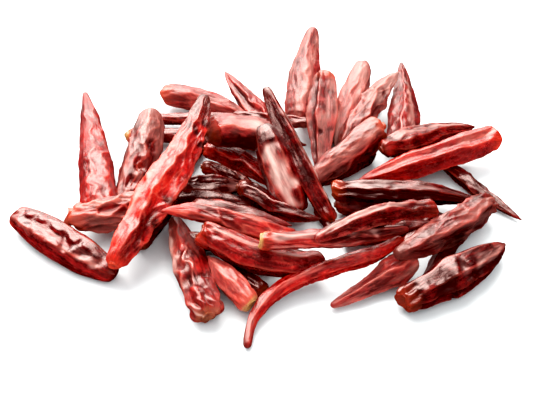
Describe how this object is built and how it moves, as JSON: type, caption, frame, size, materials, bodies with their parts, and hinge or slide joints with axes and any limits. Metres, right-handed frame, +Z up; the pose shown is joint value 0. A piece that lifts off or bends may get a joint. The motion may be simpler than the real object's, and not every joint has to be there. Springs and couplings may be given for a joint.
{
  "type": "heap of dried chillies",
  "caption": "Loose heap of dried red chillies lying as they fell: long tapering wrinkled pods, some flat on the table and some resting across each other.",
  "frame": {"origin": "on the table under the middle of the heap's box", "axes": "+X across the heap to the right as pictured, +Y away from the camera, +Z up"},
  "size_m": [0.2356, 0.2038, 0.037],
  "materials": {
    "chilli_skin": "semi-gloss wrinkled dry skin, scarlet to dark maroon"
  },
  "bodies": {
    "root": {"chilli_heap": "chilli_skin"}
  },
  "joints": []
}
